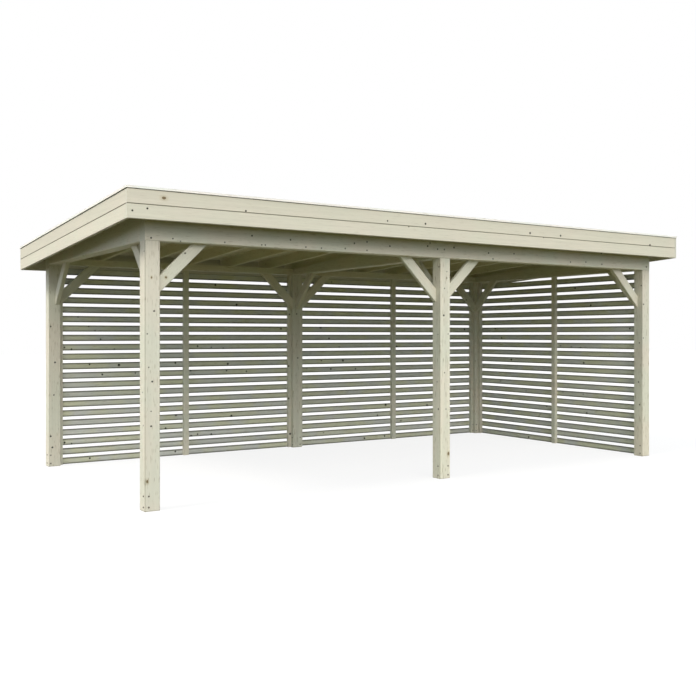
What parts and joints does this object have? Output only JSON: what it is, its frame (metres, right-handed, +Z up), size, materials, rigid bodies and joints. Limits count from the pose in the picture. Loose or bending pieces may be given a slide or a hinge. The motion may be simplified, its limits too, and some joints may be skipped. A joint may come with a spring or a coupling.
{
  "type": "timber garden pergola with closed roof and slatted walls",
  "caption": "Free-standing timber garden pergola with braced posts, a closed roof that falls to the back behind a boarded fascia, and horizontal slatted walls on two sides.",
  "frame": {"origin": "ground level, in the middle of the plan", "axes": "+X along the front to the right, +Y from the open front to the slatted back wall, +Z up"},
  "size_m": [6.523, 3.66, 2.5857],
  "materials": {
    "frame_wood": "planed, pressure-treated softwood, pale grey-green cream",
    "fascia_wood": "planed, pressure-treated softwood boards with small dark knots",
    "strip_wood": "planed softwood strip, paler than the fascia",
    "roof_wood": "planed, pressure-treated softwood",
    "slat_wood": "planed, pressure-treated softwood slats with eased edges",
    "roofing_felt": "mineral-faced roofing felt",
    "screw_steel": "dark coated steel bolts and screws, added as visual pieces"
  },
  "bodies": {
    "root": {"barge_rafters": "roof_wood", "beam_back": "frame_wood", "beam_front": "frame_wood", "beam_left": "frame_wood", "beam_middle": "frame_wood", "beam_right": "frame_wood", "braces_back": "frame_wood", "braces_front": "frame_wood", "braces_left": "frame_wood", "braces_middle": "frame_wood", "braces_right": "frame_wood", "edge_strip_back": "strip_wood", "edge_strip_front": "strip_wood", "edge_strip_left": "strip_wood", "edge_strip_right": "strip_wood", "fascia_back_lower": "fascia_wood", "fascia_back_upper": "fascia_wood", "fascia_front_lower": "fascia_wood", "fascia_front_upper": "fascia_wood", "fascia_left_lower": "fascia_wood", "fascia_left_upper": "fascia_wood", "fascia_right_lower": "fascia_wood", "fascia_right_upper": "fascia_wood", "post_back_left": "frame_wood", "post_back_middle": "frame_wood", "post_back_right": "frame_wood", "post_front_left": "frame_wood", "post_front_middle": "frame_wood", "post_front_right": "frame_wood", "rafters": "roof_wood", "roof_covering": "roofing_felt", "roof_deck": "roof_wood", "slats_back_left": "slat_wood", "slats_back_right": "slat_wood", "slats_right": "slat_wood", "studs_back_left": "frame_wood", "studs_back_right": "frame_wood", "studs_right": "frame_wood"}
  },
  "joints": []
}
